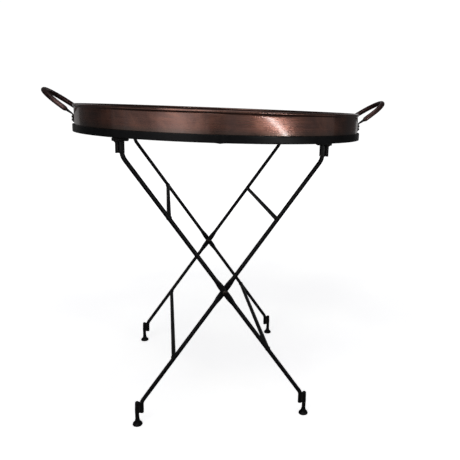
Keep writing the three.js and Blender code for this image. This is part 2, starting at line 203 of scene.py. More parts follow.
def uneven(points, size, amount, seed):
    """Small offsets for hand-worked surfaces: one number for each point."""
    shift = Vector((seed * 7.31, seed * 3.17, seed * 1.93))
    return np.array([amount * noise.noise(Vector(p) / size + shift) for p in points])


def sweep(name, path, width_axis, form, sides=20, domes=(1.0, 1.0), seed=0, rough=0.05 * MM,
          lump=5 * MM, **kwargs):
    """A rod along a path. form(s, length) gives half width, half thickness and squareness.

    domes gives how far each end stands proud, in half thicknesses.
    """
    path = np.asarray(path, float)
    s = arc_lengths(path)
    tangents = directions(path)
    width_axis = np.asarray(width_axis, float)
    if width_axis.ndim == 1:
        width_axis = np.repeat(width_axis[None], len(path), 0)
    angles = 2 * math.pi * (np.arange(sides) + 0.5) / sides

    def row(i, shrink=1.0, along=0.0):
        t = tangents[i]
        w = width_axis[i] - t * width_axis[i].dot(t)
        w /= np.linalg.norm(w)
        thick = np.cross(t, w)
        a, b, square = form(s[i], s[-1])
        power = 2.0 / square
        c, d = np.cos(angles), np.sin(angles)
        u = np.sign(c) * np.abs(c) ** power * a * shrink
        v = np.sign(d) * np.abs(d) ** power * b * shrink
        flat = path[i] + t * along + u[:, None] * w + v[:, None] * thick
        if rough:
            out = flat - path[i] - t * along
            out /= np.maximum(np.linalg.norm(out, axis=1), 1e-9)[:, None]
            flat = flat + out * uneven(flat, lump, rough * shrink, seed)[:, None]
        return flat

    rows = [row(i) for i in range(len(path))]
    steps = [math.radians(a) for a in (18, 36, 54, 70, 82)]
    for end, i, sign in ((0, 0, -1), (1, len(path) - 1, 1)):
        if domes[end] <= 0:
            continue
        height = form(s[i], s[-1])[1] * domes[end]
        cap = [row(i, math.cos(a), sign * height * math.sin(a)) for a in steps]
        rows = cap[::-1] + rows if end == 0 else rows + cap
    return tube(name, rows, **kwargs)


def lathe(name, profile, steps, centre=(0, 0), loop_rows=True, shift=None, **kwargs):
    """Turns (radius, height) points about a vertical axis. shift moves the finished points."""
    angles = 2 * math.pi * np.arange(steps) / steps
    rows = []
    for r, z in profile:
        rows.append(np.stack([
            centre[0] + r * np.cos(angles), centre[1] + r * np.sin(angles),
            np.full(steps, z)], 1))
    rows = np.array(rows)
    if shift is not None:
        rows = shift(rows, angles)
    return tube(name, rows, loop_rows, **kwargs)


def solid_of_outline(name, outline, low, high, bevel, place, spacing=None, steps=3, seed=0,
                     rough=0.06 * MM):
    """A plate with rounded edges: outline in u, v, thickness from low to high along w."""
    spacing = spacing or 3 * MM
    outline = subdivided(outline, spacing)
    pts = np.array(outline)
    after, before = np.roll(pts, -1, 0), np.roll(pts, 1, 0)
    tangent = after - before
    tangent /= np.linalg.norm(tangent, axis=1)[:, None]
    inward = np.stack([-tangent[:, 1], tangent[:, 0]], 1)
    area = 0.5 * np.sum(pts[:, 0] * after[:, 1] - after[:, 0] * pts[:, 1])
    if area < 0:
        inward = -inward
    rows = []
    for k in range(steps + 1):
        a = math.pi / 2 * k / steps
        rows.append((1 - math.sin(a), low + bevel * (1 - math.cos(a))))
    side = max(1, int((high - low - 2 * bevel) / spacing))
    for k in range(1, side):
        rows.append((0, low + bevel + (high - low - 2 * bevel) * k / side))
    for k in range(steps + 1):
        a = math.pi / 2 * (1 - k / steps)
        rows.append((1 - math.sin(a), high - bevel * (1 - math.cos(a))))
    grid = []
    for inset, w in rows:
        flat = pts + inward * inset * bevel
        grid.append(np.column_stack([flat, np.full(len(flat), w)]))
    for end, w in ((0, low), (-1, high)):
        inner = pts + inward * bevel * 2.2
        extra = np.column_stack([inner, np.full(len(inner), w)])
        grid.insert(0, extra) if end == 0 else grid.append(extra)
    grid = np.array(grid)
    flat = grid.reshape(-1, 3)
    world = np.array([tuple(place @ Vector(p)) for p in flat])
    if rough:
        world = world + np.stack(
            [uneven(world, 6 * MM, rough, seed + q) for q in (1, 2, 3)], 1)
    return tube(name, world.reshape(grid.shape))


# --- materials --------------------------------------------------------------------------
RING_TO_WALL = 4 * MM  # from the ring's outer face in to the tray's wall
TRAY_WALL_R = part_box("ring_band")[1].x - RING_TO_WALL


class Look:
    """A node material under construction."""

    def __init__(self, name):
        self.material = bpy.data.materials.new(name)
        self.material.use_nodes = True
        self.tree = self.material.node_tree
        self.tree.nodes.clear()
        self.out = self.tree.nodes.new("ShaderNodeOutputMaterial")
        self.shader = self.tree.nodes.new("ShaderNodeBsdfPrincipled")
        self.tree.links.new(self.shader.outputs[0], self.out.inputs["Surface"])
        self.coords = self.tree.nodes.new("ShaderNodeTexCoord").outputs["Object"]

    def put(self, socket, value):
        if isinstance(value, bpy.types.NodeSocket):
            self.tree.links.new(value, socket)
        elif isinstance(value, (tuple, list)) and len(value) == 3 and socket.type == "RGBA":
            socket.default_value = (*value, 1.0)
        else:
            socket.default_value = value

    def math(self, operation, a, b=0.0, clamp=False):
        node = self.tree.nodes.new("ShaderNodeMath")
        node.operation, node.use_clamp = operation, clamp
        self.put(node.inputs[0], a)
        self.put(node.inputs[1], b)
        return node.outputs[0]

    def vector(self, operation, a, b=(0, 0, 0)):
        node = self.tree.nodes.new("ShaderNodeVectorMath")
        node.operation = operation
        self.put(node.inputs[0], a)
        self.put(node.inputs[1], b)
        return node.outputs["Value" if operation == "LENGTH" else "Vector"]

    def split(self, vector):
        node = self.tree.nodes.new("ShaderNodeSeparateXYZ")
        self.put(node.inputs[0], vector)
        return node.outputs

    def join(self, x, y, z):
        node = self.tree.nodes.new("ShaderNodeCombineXYZ")
        for socket, value in zip(node.inputs, (x, y, z)):
            self.put(socket, value)
        return node.outputs[0]

    def noise(self, scale, detail=3.0, roughness=0.55, vector=None, stretch=None,
              distortion=0.0):
        node = self.tree.nodes.new("ShaderNodeTexNoise")
        vector = vector or self.coords
        if stretch:
            vector = self.vector("MULTIPLY", vector, stretch)
        self.put(node.inputs["Vector"], vector)
        node.inputs["Scale"].default_value = scale
        node.inputs["Detail"].default_value = detail
        node.inputs["Roughness"].default_value = roughness
        node.inputs["Distortion"].default_value = distortion
        return node.outputs[0]

    def remap(self, value, low, high, to_low=0.0, to_high=1.0):
        node = self.tree.nodes.new("ShaderNodeMapRange")
        node.clamp = True
        node.interpolation_type = "SMOOTHSTEP"
        for socket, v in zip(node.inputs, (value, low, high, to_low, to_high)):
            self.put(socket, v)
        return node.outputs[0]

    def mix(self, factor, a, b):
        """Colours a and b mixed. A Mix node's colour sockets are inputs 6 and 7, output 2."""
        node = self.tree.nodes.new("ShaderNodeMix")
        node.data_type = "RGBA"
        self.put(node.inputs["Factor"], factor)
        self.put(node.inputs[6], a)
        self.put(node.inputs[7], b)
        return node.outputs[2]

    def edge(self):
        node = self.tree.nodes.new("ShaderNodeAttribute")
        node.attribute_name = "edge"
        return node.outputs["Fac"]

    def bump(self, height, strength, distance, normal=None):
        node = self.tree.nodes.new("ShaderNodeBump")
        node.inputs["Strength"].default_value = strength
        node.inputs["Distance"].default_value = distance
        self.put(node.inputs["Height"], height)
        if normal is not None:
            self.put(node.inputs["Normal"], normal)
        return node.outputs[0]

    def finish(self, **sockets):
        for name, value in sockets.items():
            self.put(self.shader.inputs[name.replace("_", " ")], value)
        return self.material


def aged_copper():
    look = Look("aged_copper_look")
    x, y, z = look.split(look.coords)
    radius = look.vector("LENGTH", look.join(x, y, 0.0))
    # spinning marks: rings round the tray's axis, on the wall and on the floor alike
    turns = look.join(look.math("MULTIPLY", x, 9.0), look.math("MULTIPLY", y, 9.0),
                      look.math("ADD", look.math("MULTIPLY", radius, 900.0),
                                look.math("MULTIPLY", z, 900.0)))
    streaks = look.noise(1.0, 4.0, 0.6, vector=turns)
    clouds = look.noise(17.0, 4.0, 0.6, distortion=0.8)
    drips = look.noise(1.0, 3.0, 0.5, stretch=(46.0, 46.0, 9.0))
    bands = look.noise(1.0, 3.0, 0.55, stretch=(9.0, 9.0, 110.0))
    specks = look.noise(420.0, 2.0, 0.6)
    tone = look.mix(look.remap(clouds, 0.36, 0.64), (0.128, 0.053, 0.041), (0.256, 0.108, 0.075))
    tone = look.mix(look.remap(bands, 0.50, 0.70, 0.0, 0.55), tone, (0.285, 0.105, 0.066))
    tone = look.mix(look.remap(drips, 0.45, 0.75, 0.0, 0.45), tone, (0.115, 0.058, 0.054))
    tone = look.mix(look.remap(streaks, 0.40, 0.7, 0.0, 0.30), tone, (0.300, 0.170, 0.140))
    tone = look.mix(look.remap(specks, 0.60, 0.74, 0.0, 0.45), tone, (0.050, 0.028, 0.022))
    ring_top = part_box("ring_band")[1].z
    # darker grey-brown from 11 mm above the ring's top downwards
    darker_near_ring = look.remap(z, ring_top + 11 * MM, ring_top - 1 * MM, 0.0, 0.75)
    tone = look.mix(darker_near_ring, tone, (0.085, 0.062, 0.050))
    # painted shade: the tray's inner wall and floor are darkened towards dark brown
    inside = look.remap(radius, TRAY_WALL_R - 1.6 * MM, TRAY_WALL_R - 0.6 * MM, 0.55, 0.0)
    tone = look.mix(inside, tone, (0.070, 0.036, 0.028))
    # lighter on raised edges: rubbed wear, and on the rolled bead also a painted highlight
    wear_and_bead_highlight = look.math("MULTIPLY", look.edge(), look.remap(clouds, 0.25, 0.6, 0.45, 1.0))
    tone = look.mix(wear_and_bead_highlight, tone, (0.36, 0.25, 0.20))
    roughness = look.remap(streaks, 0.3, 0.7, 0.22, 0.30)
    roughness = look.math("ADD", roughness, look.remap(clouds, 0.3, 0.7, -0.02, 0.05))
    roughness = look.math("SUBTRACT", roughness, look.math("MULTIPLY", wear_and_bead_highlight, 0.10))
    normal = look.bump(streaks, 0.16, 0.12 * MM)
    normal = look.bump(look.noise(70.0, 2.0, 0.5), 0.10, 0.6 * MM, normal)
    normal = look.bump(specks, 0.06, 0.08 * MM, normal)
    return look.finish(Base_Color=tone, Metallic=0.93, Roughness=roughness, Normal=normal,
                       Coat_Weight=0.80, Coat_Roughness=0.11)


def grip_copper():
    look = Look("grip_copper_look")
    mottle = look.noise(260.0, 4.0, 0.65, distortion=0.4)
    clouds = look.noise(45.0, 3.0, 0.5)
    bands = look.noise(1.0, 3.0, 0.6, stretch=(150.0, 520.0, 150.0))
    tone = look.mix(look.remap(clouds, 0.35, 0.65), (0.040, 0.017, 0.017), (0.115, 0.056, 0.052))
    tone = look.mix(look.remap(mottle, 0.5, 0.72, 0.0, 0.6), tone, (0.26, 0.160, 0.148))
    tone = look.mix(look.remap(bands, 0.50, 0.70, 0.0, 0.45), tone, (0.020, 0.010, 0.010))
    tone = look.mix(look.math("MULTIPLY", look.edge(), 0.4), tone, (0.30, 0.19, 0.16))
    roughness = look.remap(mottle, 0.3, 0.7, 0.30, 0.46)
    normal = look.bump(bands, 0.22, 0.25 * MM)
    normal = look.bump(mottle, 0.14, 0.16 * MM, normal)
    return look.finish(Base_Color=tone, Metallic=0.88, Roughness=roughness, Normal=normal,
                       Coat_Weight=0.25, Coat_Roughness=0.22)


def black_iron():
    look = Look("black_iron_look")
    clouds = look.noise(30.0, 4.0, 0.6)
    skin = look.noise(620.0, 3.0, 0.6)
    forged = look.noise(95.0, 2.0, 0.5, distortion=0.3)
    specks = look.noise(240.0, 5.0, 0.7)
    tone = look.mix(look.remap(clouds, 0.3, 0.7), (0.0022, 0.0022, 0.0030),
                    (0.0062, 0.0060, 0.0068))
    tone = look.mix(look.remap(specks, 0.68, 0.80, 0.0, 0.6), tone, (0.030, 0.016, 0.010))
    chips = look.math("MULTIPLY", look.edge(), look.remap(specks, 0.48, 0.64), clamp=True)
    tone = look.mix(look.math("MULTIPLY", chips, 0.7), tone, (0.060, 0.045, 0.036))
    roughness = look.remap(clouds, 0.3, 0.7, 0.32, 0.46)
    roughness = look.math("ADD", roughness, look.remap(skin, 0.3, 0.7, -0.03, 0.06))
    normal = look.bump(forged, 0.20, 0.5 * MM)
    normal = look.bump(skin, 0.14, 0.10 * MM, normal)
    return look.finish(Base_Color=tone, Metallic=0.0, Roughness=roughness, Normal=normal,
                       Specular_IOR_Level=0.17, Coat_Weight=0.03, Coat_Roughness=0.20)


def dark_steel():
    look = Look("dark_steel_look")
    clouds = look.noise(120.0, 3.0, 0.6)
    scratches = look.noise(1.0, 4.0, 0.6, stretch=(260.0, 260.0, 2200.0))
    tone = look.mix(look.remap(clouds, 0.3, 0.7), (0.016, 0.013, 0.012), (0.050, 0.040, 0.035))
    tone = look.mix(look.remap(scratches, 0.5, 0.7, 0.0, 0.5), tone, (0.10, 0.085, 0.074))
    tone = look.mix(look.math("MULTIPLY", look.edge(), 0.4), tone, (0.17, 0.14, 0.12))
    roughness = look.remap(scratches, 0.3, 0.7, 0.30, 0.48)
    normal = look.bump(scratches, 0.18, 0.06 * MM)
    normal = look.bump(clouds, 0.15, 0.2 * MM, normal)
    return look.finish(Base_Color=tone, Metallic=0.9, Roughness=roughness, Normal=normal)


LOOKS = {
    "aged_copper": aged_copper(),
    "grip_copper": grip_copper(),
    "black_iron": black_iron(),
    "dark_steel": dark_steel(),
}
SLOT_OF = {part["node"]: part["material_slot"] for part in record["subparts"]}
BODY_OF = {node: body for body, nodes in record["behaviour"]["bodies"].items() for node in nodes}


def stand_for(piece, node):
    """The finished piece takes a CAD node's place, body and finish."""
    piece.data.materials.append(LOOKS[SLOT_OF[node]])
    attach(piece, BODY_OF[node])
    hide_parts(node)


def added(piece, body, slot):
    """A piece that no CAD node stands for, such as a weld."""
    piece.data.materials.append(LOOKS[slot])
    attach(piece, body)


def corners(node):
    """Lowest corner, highest corner and middle of a CAD node's box."""
    low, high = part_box(node)
    return low, high, (low + high) / 2


# --- tray -------------------------------------------------------------------------------
# The tray lies turned in its ring: its pieces are made with the handles along X, then turned.
_, _, right_grip = corners("handle_grip_right")
TRAY_TURN = math.atan2(right_grip.y, right_grip.x)
TURN = Matrix.Rotation(TRAY_TURN, 4, "Z")
WALL_STEPS = 288
SHEET = 1.0 * MM
PAN_CORNER = 6 * MM
BEAD_R = 2.9 * MM
BEAD_OVERHANG = 2.4 * MM  # how far the rolled edge stands outside the wall
WALL_BOW = 0.35 * MM  # the spun wall bulges a little halfway up


def arc(u, v, radius, start, end, steps):
    """Points of an arc about (u, v), from start to end in degrees, ends included."""
    return [
        (u + radius * math.cos(a), v + radius * math.sin(a))
        for a in (math.radians(start + (end - start) * k / steps) for k in range(steps + 1))
    ]


def tray_pan():
    low, high, _ = corners("tray_pan")
    outer = TRAY_WALL_R
    bead_u, bead_v = outer + BEAD_OVERHANG - BEAD_R, high.z - BEAD_R
    floor = low.z
    wall_low, wall_high = floor + PAN_CORNER, bead_v - 1.4 * MM

    def wall(r, count=14):
        rows = []
        for k in range(1, count):
            t = k / count
            bow = WALL_BOW * math.sin(math.pi * t)
            rows.append((r + bow, wall_low + (wall_high - wall_low) * t))
        return rows

    profile = [(r * MM, floor) for r in (40, 80, 120, 160, 200, 235, 260)]
    profile += arc(outer - PAN_CORNER, wall_low, PAN_CORNER, -90, 0, 6)
    profile += wall(outer)
    meets = -math.degrees(math.acos((outer - bead_u) / BEAD_R))
    profile += [(outer - 0.15 * MM, bead_v - BEAD_R - 0.3 * MM)]
    profile += arc(bead_u, bead_v, BEAD_R, meets + 8, 215, 18)
    profile += [(outer - SHEET, bead_v - BEAD_R - 0.3 * MM)]
    profile += wall(outer - SHEET)[::-1]
    inner_corner = PAN_CORNER - SHEET
    profile += arc(outer - SHEET - inner_corner, wall_low, inner_corner, 0, -90, 6)
    ridge = outer - 26 * MM  # a low ring spun up in the floor near the wall
    profile += [
        (ridge + 5 * MM, floor + SHEET), (ridge + 2 * MM, floor + 1.15 * MM),
        (ridge, floor + 1.45 * MM), (ridge - 2 * MM, floor + 1.15 * MM),
        (ridge - 5 * MM, floor + SHEET)]
    profile += [(r * MM, floor + SHEET) for r in (225, 190, 150, 110, 70, 35, 12)]

    def shift(rows, angles):
        """The wall wanders sideways, more towards the rim, and the floor up and down."""
        flat = rows.reshape(-1, 3)
        wave = uneven(flat, 85 * MM, 0.40 * MM, 3) + uneven(flat, 28 * MM, 0.10 * MM, 4)
        radii = np.linalg.norm(flat[:, :2], axis=1)
        share = np.clip((radii - 0.9 * outer) / (0.1 * outer), 0, 1)
        direction = flat[:, :2] / np.maximum(radii, 1e-9)[:, None]
        fresh = flat.copy()
        fresh[:, :2] += direction * (wave * share)[:, None]
        inside = np.clip((0.93 * outer - radii) / (0.2 * outer), 0, 1)
        fresh[:, 2] += (uneven(flat * [1, 1, 0], 60 * MM, 0.25 * MM, 5) + 0.12 * MM) * inside
        return fresh.reshape(rows.shape)

    return lathe("tray_pan_spun", profile, WALL_STEPS, loop_rows=False, shift=shift)


def laid_in_ring(piece):
    """Turns a finished tray piece to the way the tray lies in the ring."""
    piece.data.transform(TURN)
    return piece


stand_for(laid_in_ring(tray_pan()), "tray_pan")

STRAP_TURN = 7 * MM  # radius of the bend from a strap to the loop
STRAP_HALF = (5.0 * MM, 1.3 * MM)  # half width and half thickness of the straps
STRAP_GAP = 0.3 * MM  # between a strap and the wall
ROD_HALF = 2.5 * MM
LOOP_HALF_WIDTH = 51.5 * MM
LOOP_REACH = 56.9 * MM
LOOP_TILT = math.radians(35)
LOOP_RISE = math.tan(LOOP_TILT)
LOOP_BASE_X = 283.5 * MM
LOOP_BASE_Z = 570.6 * MM
STRAP_AZIMUTH = math.atan2(LOOP_HALF_WIDTH, LOOP_BASE_X)


def handle_path(side):
    """Centre line from one strap's lower end, round the loop, to the other strap's."""
    low = corners(f"handle_rod_{side}")[0]
    sign = 1 if side == "right" else -1
    wall = TRAY_WALL_R + STRAP_GAP + STRAP_HALF[1]
    bend_end = wall + STRAP_TURN * (1 - math.sin(LOOP_TILT))
    to_loop = math.hypot(LOOP_BASE_X, LOOP_HALF_WIDTH) - bend_end
    bend_z = LOOP_BASE_Z - to_loop * LOOP_RISE - STRAP_TURN * math.cos(LOOP_TILT)

    def strap(turn):
        direction = Vector((math.cos(STRAP_AZIMUTH), turn * math.sin(STRAP_AZIMUTH), 0))
        bend = arc(wall + STRAP_TURN, bend_z, STRAP_TURN, 180, 90 + math.degrees(LOOP_TILT), 8)
        points = [(wall, low.z + (bend_z - low.z) * k / 5) for k in range(5)] + bend
        return [direction * r + Vector((0, 0, z)) for r, z in points]

    loop = []
    for k in range(1, 60):
        angle = math.pi * k / 60
        reach = LOOP_REACH * math.sin(angle)
        loop.append(Vector((LOOP_BASE_X + reach, LOOP_HALF_WIDTH * math.cos(angle),
                            LOOP_BASE_Z + LOOP_RISE * reach)))
    first = strap(1)
    points = first + loop + strap(-1)[::-1]
    path = np.array([tuple(p) for p in points])
    path[:, :2] *= sign
    return path, len(first)


def smoothstep(low, high, value):
    """0 below low, 1 above high, and a soft rise between them."""
    t = min(1.0, max(0.0, (value - low) / (high - low)))
    return t * t * (3 - 2 * t)


GRIP_R, GRIP_END_R = 4.9 * MM, 2.7 * MM
GRIP_NOSE = 6 * MM  # over this length an end of the grip is drawn in
GRIP_SWELL = 0.25 * MM


def handle_rod(side):
    path, strap_rows = handle_path(side)
    length = arc_lengths(path)
    strap_end = length[strap_rows - 1]
    # the width runs along the wall in the straps, and in the loop's plane elsewhere
    axes = loop_axes(path, side)
    for k in range(len(path)):
        near = min(k, len(path) - 1 - k)
        turn = 1 if k < len(path) / 2 else -1
        on_wall = np.array([-math.sin(STRAP_AZIMUTH) * turn, math.cos(STRAP_AZIMUTH), 0.0])
        if on_wall.dot(axes[k]) < 0:
            on_wall = -on_wall
        share = smoothstep(strap_rows - 3, strap_rows + 4, near)
        axes[k] = on_wall * (1 - share) + axes[k] / np.linalg.norm(axes[k]) * share

    def form(s, total):
        t = min(s, total - s)
        flat = 1 - smoothstep(strap_end * 0.72, strap_end + 9 * MM, t)
        tip = smoothstep(-2 * MM, 5 * MM, t)
        width = ROD_HALF + (STRAP_HALF[0] - ROD_HALF) * flat
        thick = ROD_HALF + (STRAP_HALF[1] - ROD_HALF) * flat
        return width * (0.62 + 0.38 * tip), thick * (0.8 + 0.2 * tip), 2.0 + 1.6 * flat

    return sweep(f"handle_rod_forged_{side}", path, axes, form, sides=20,
                 domes=(1.2, 1.2), seed=11 if side == "right" else 12)


def loop_axes(path, side):
    """Directions square to the path in the loop's plane."""
    sign = 1 if side == "right" else -1
    plane = np.array([-sign * math.sin(LOOP_TILT), 0.0, math.cos(LOOP_TILT)])
    axes = np.cross(plane, directions(path))
    return axes / np.linalg.norm(axes, axis=1)[:, None]


def handle_grip(side):
    """Copper sleeve on the loop, swelling in its arms, with blunt drawn-in ends."""
    path, strap_rows = handle_path(side)
    first, last = strap_rows + 1, len(path) - strap_rows - 2
    path = path[first:last + 1]

    def form(s, total):
        t = min(s, total - s)
        nose = math.sqrt(max(0.0, 1 - (1 - min(1.0, (t + 0.4 * MM) / GRIP_NOSE)) ** 2))
        arm = math.exp(-((t / total - 0.22) / 0.14) ** 2)
        radius = GRIP_END_R + (GRIP_R - GRIP_END_R) * nose + GRIP_SWELL * arm * nose
        return radius, radius * 0.96, 2.0

    return sweep(f"handle_grip_sleeve_{side}", path, loop_axes(path, side), form, sides=28,
                 domes=(0.3, 0.3), rough=0.16 * MM, lump=3.5 * MM,
                 seed=21 if side == "right" else 22)


for side in ("left", "right"):
    stand_for(laid_in_ring(handle_rod(side)), f"handle_rod_{side}")
    stand_for(laid_in_ring(handle_grip(side)), f"handle_grip_{side}")


def pin_along(name, low_point, high_point, shank, head, head_height, seed):
    """A rivet between two points: hammered domed heads on a shank. shank and head are radii."""
    axis = (high_point - low_point).normalized()
    length = (high_point - low_point).length
    rows = []
    for t in range(7):
        a = math.radians(8 + 82 * t / 6)
        rows.append((head * math.sin(a) ** 0.9, head_height * (1 - math.cos(a))))
    rows += [(head * 0.97, head_height + 0.05 * MM), (shank, head_height + 0.08 * MM)]
    rows += [(shank, length / 2)]
    rows += [(r, length - z) for r, z in rows[::-1]]
    turn = Vector((0, 0, 1)).rotation_difference(axis).to_matrix().to_4x4()
    place = Matrix.Translation(low_point) @ turn
    sides = 20
    angles = 2 * math.pi * np.arange(sides) / sides
    grid = []
    for r, z in rows:
        ring = [place @ Vector((r * math.cos(a), r * math.sin(a), z)) for a in angles]
        grid.append([tuple(p) for p in ring])
    grid = np.array(grid)
    flat = grid.reshape(-1, 3)
    bumps = np.stack([uneven(flat, 1.6 * MM, 0.12 * MM, seed + q) for q in range(3)], 1)
    return tube(name, (flat + bumps).reshape(grid.shape))


RIVET_SHANK_R = 1.6 * MM
RIVET_HEAD = (2.6 * MM, 1.5 * MM)  # radius and height
seed = 40
for node in sorted(SLOT_OF):
    if node.startswith("rivet_"):
        centre = corners(node)[2]
        out = Vector((centre.x, centre.y, 0)).normalized()
        inner = TRAY_WALL_R - SHEET - 0.3 * MM
        outer = TRAY_WALL_R + 2 * STRAP_HALF[1] + 0.7 * MM
        half = (outer - inner) / 2 + RIVET_HEAD[1]
        middle = out * (inner + outer) / 2
        middle.z = centre.z
        piece = pin_along(f"{node}_peened", middle - out * half, middle + out * half,
                          RIVET_SHANK_R, *RIVET_HEAD, seed)
        stand_for(piece, node)
        seed += 3


# --- ring -------------------------------------------------------------------------------
RING_BAR = 3.2 * MM
BUTT_WELD_AZIMUTH = math.radians(-95.5)  # where the flat bar's two ends meet


def ring_band():
    low, high, _ = corners("ring_band")
    outer, inner = high.x, high.x - RING_BAR
    outline = subdivided(rectangle(inner, low.z, outer, high.z, 0.55 * MM, 3), 2.2 * MM)

    def shift(rows, angles):
        out = rows.copy()
        for j, angle in enumerate(angles):
            gap = (angle - BUTT_WELD_AZIMUTH + math.pi) % (2 * math.pi) - math.pi
            along = gap * outer
            lump = math.exp(-(along / (5.5 * MM)) ** 2)
            seam = math.exp(-(along / (1.6 * MM)) ** 2)
            direction = np.array([math.cos(angle), math.sin(angle)])
            for k in range(len(rows)):
                p = rows[k, j]
                wave = noise.noise(Vector(p) / (45 * MM)) * 0.12 * MM
                bead = lump * (0.25 + 0.5 * noise.noise(Vector(p) / (2.2 * MM))) * MM
                outwards = 1 if math.hypot(p[0], p[1]) > outer - 1.6 * MM else -0.4
                out[k, j, :2] += direction * (wave + bead * outwards)
                if p[2] < low.z + 1.2 * MM:
                    out[k, j, 2] -= lump * 0.75 * MM + seam * 0.35 * MM
        return out

    return lathe("ring_band_rolled", outline, 720, shift=shift)


stand_for(ring_band(), "ring_band")
TAB_HALF_WIDTH = 15 * MM
TAB_INNER_R = 243 * MM
TAB_OUTER_R = corners("ring_band")[1].x - RING_BAR - 0.3 * MM  # just clear of the hoop
TAB_CUT = 5 * MM  # of the inner corners
CHANNEL_INSIDE_R, CHANNEL_WALL = 4.32 * MM, 1.7 * MM
CHANNEL_LIP = 4.2 * MM  # from the leg's axis to the channel's open edge
PLACES = ("front_left", "rear_left", "front_right", "rear_right")
for index, place in enumerate(PLACES):
    # shelf plate
    node = f"ring_tab_{place}"
    low, high, _ = corners(node)
    channel_low, channel_high, channel_mid = corners(f"leg_channel_{place}")
    sx = -1 if "left" in place else 1
    leg_x = (channel_low.x if sx > 0 else channel_high.x) + sx * CHANNEL_LIP
    azimuth = math.atan2(channel_mid.y, leg_x)
    reach = math.asin(TAB_HALF_WIDTH / TAB_OUTER_R)
    outline = [(TAB_INNER_R, -TAB_HALF_WIDTH + TAB_CUT),
               (TAB_INNER_R + TAB_CUT, -TAB_HALF_WIDTH)]
    outline += [(TAB_OUTER_R * math.cos(a), TAB_OUTER_R * math.sin(a))
                for a in np.linspace(-reach, reach, 13)]
    outline += [(TAB_INNER_R + TAB_CUT, TAB_HALF_WIDTH),
                (TAB_INNER_R, TAB_HALF_WIDTH - TAB_CUT)]
    turn = Matrix.Rotation(azimuth, 4, "Z")
    piece = solid_of_outline(f"{node}_plate", outline, low.z, high.z, 0.7 * MM, turn,
                             seed=60 + index)
    stand_for(piece, node)

    # short flat bar under it, over the channel
    node = f"socket_plate_{place}"
    low, high, _ = corners(node)
    outline = rectangle(low.x, low.y, high.x, high.y, 2.2 * MM, 4)
    piece = solid_of_outline(f"{node}_bar", outline, low.z, high.z, 1.5 * MM,
                             Matrix.Identity(4), spacing=2.4 * MM, steps=4, seed=65 + index)
    stand_for(piece, node)

    # channel round the leg's top
    node = f"leg_channel_{place}"
    inside, outside = CHANNEL_INSIDE_R, CHANNEL_INSIDE_R + CHANNEL_WALL
    outline = [(-CHANNEL_LIP, -outside), *arc(0, 0, outside, -90, 90, 14),
               (-CHANNEL_LIP, outside), (-CHANNEL_LIP, inside),
               *arc(0, 0, inside, 90, -90, 12), (-CHANNEL_LIP, -inside)]
    turn = Matrix.Translation((leg_x, channel_mid.y, 0)) @ Matrix.Rotation(
        0 if sx > 0 else math.pi, 4, "Z")
    piece = solid_of_outline(f"{node}_folded", outline, channel_low.z, channel_high.z,
                             0.35 * MM, turn, spacing=1.6 * MM, steps=2, seed=70 + index)
    stand_for(piece, node)

    # flat bar beside it
    node = f"channel_gusset_{place}"
    low, high, _ = corners(node)
    outline = rectangle(low.x, low.y, high.x, high.y, 0.7 * MM, 3)
    piece = solid_of_outline(f"{node}_bar", outline, low.z, high.z, 0.6 * MM,
                             Matrix.Identity(4), spacing=1.8 * MM, seed=80 + index)
    stand_for(piece, node)


# --- welds ------------------------------------------------------------------------------
def weld_line(name, start, end, half_width, half_height, up, seed, ripple=1.9 * MM):
    """A run of weld: overlapping puddles, with round ends."""
    start, end = Vector(start), Vector(end)
    length = (end - start).length
    count = max(12, int(length / (0.45 * MM)))
    path = np.array([tuple(start.lerp(end, k / count)) for k in range(count + 1)])
    side = np.cross(np.array(tuple((end - start).normalized())), np.array(up))

    def form(s, total):
        wave = 1 + 0.10 * math.sin(2 * math.pi * s / ripple) + 0.12 * noise.noise(
            Vector((s / (4 * MM), seed * 2.3, 0)))
        return half_width * wave, half_height * wave, 2.0

    return sweep(name, path, side, form, sides=14, domes=(0.9, 0.9), seed=seed,
                 rough=0.22 * MM, lump=2.2 * MM)


def concave_fillet(name, origin, along, outward, down, length, size, seed):
    """Weld that fills the corner under a plate: a concave wedge along a line."""
    origin, along = Vector(origin), Vector(along)
    outward, down = Vector(outward), Vector(down)
    section = [(0, 0)]
    for k in range(7):
        a = math.radians(90 * k / 6)
        section.append((size[0] * (1 - math.sin(a)), size[1] * (1 - math.cos(a))))
    rows = []
    steps = max(8, int(length / (0.9 * MM)))
    for k in range(steps + 1):
        t = k / steps
        taper = min(1.0, 0.35 + 0.65 * smoothstep(0, 0.2, min(t, 1 - t)))
        lump = 1 + 0.16 * noise.noise(Vector((t * length / (2.5 * MM), seed * 1.7, 0)))
        ring = []
        for u, v in section:
            ring.append(tuple(origin + along * (length * (t - 0.5))
                              + outward * (u * taper * lump) + down * (v * taper * lump)))
        rows.append(ring)
    return tube(name, rows, smooth_angle=math.radians(60))


